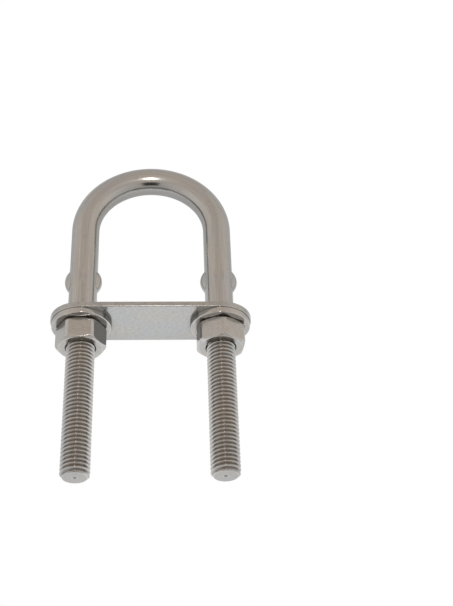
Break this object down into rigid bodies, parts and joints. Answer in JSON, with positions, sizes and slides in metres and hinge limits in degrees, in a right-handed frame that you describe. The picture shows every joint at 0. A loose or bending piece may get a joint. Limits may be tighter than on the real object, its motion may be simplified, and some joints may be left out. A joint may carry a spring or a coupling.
{
  "type": "u-bolt",
  "caption": "Round-bar U-bolt with pressed ears and threaded legs, carrying a sliding bridge plate, washers and hexagon nuts.",
  "frame": {"origin": "midway between the two legs, on the bridge plate's underside as seated on the washers, which is the face that lies on a deck", "axes": "+Z along the legs towards the bow, +X across the legs from the left leg to the right leg, -Y is the front"},
  "size_m": [0.084, 0.026, 0.1545],
  "materials": {
    "bar": "polished stainless steel",
    "plate": "polished stainless steel sheet",
    "washer": "polished stainless steel, punched",
    "nut": "bright stainless steel"
  },
  "bodies": {
    "rod": {"u_rod": "bar"},
    "plate": {"bridge_plate": "plate"},
    "left_washer": {"left_washer": "washer"},
    "left_nut": {"left_nut": "nut"},
    "right_washer": {"right_washer": "washer"},
    "right_nut": {"right_nut": "nut"}
  },
  "joints": [
    {"name": "plate_slide", "type": "slide", "parent": "rod", "child": "plate", "axis": [0, 0, 1], "range_m": [0, 0.0141]},
    {"name": "left_washer_slide", "type": "slide", "parent": "rod", "child": "left_washer", "axis": [0, 0, -1], "range_m": [0, 0.0675]},
    {"name": "left_nut_turn", "type": "hinge", "parent": "left_washer", "child": "left_nut", "pos_m": [-0.029, 0, -0.0074], "axis": [0, 0, -1], "range_deg": [0, 13880]},
    {"name": "right_washer_slide", "type": "slide", "parent": "rod", "child": "right_washer", "axis": [0, 0, -1], "range_m": [0, 0.0675]},
    {"name": "right_nut_turn", "type": "hinge", "parent": "right_washer", "child": "right_nut", "pos_m": [0.029, 0, -0.0074], "axis": [0, 0, -1], "range_deg": [0, 13880]}
  ],
  "couplings": [
    {"joint": "left_washer_slide", "follows": "left_nut_turn", "m_per_rad": 0.00027852},
    {"joint": "right_washer_slide", "follows": "right_nut_turn", "m_per_rad": 0.00027852}
  ]
}
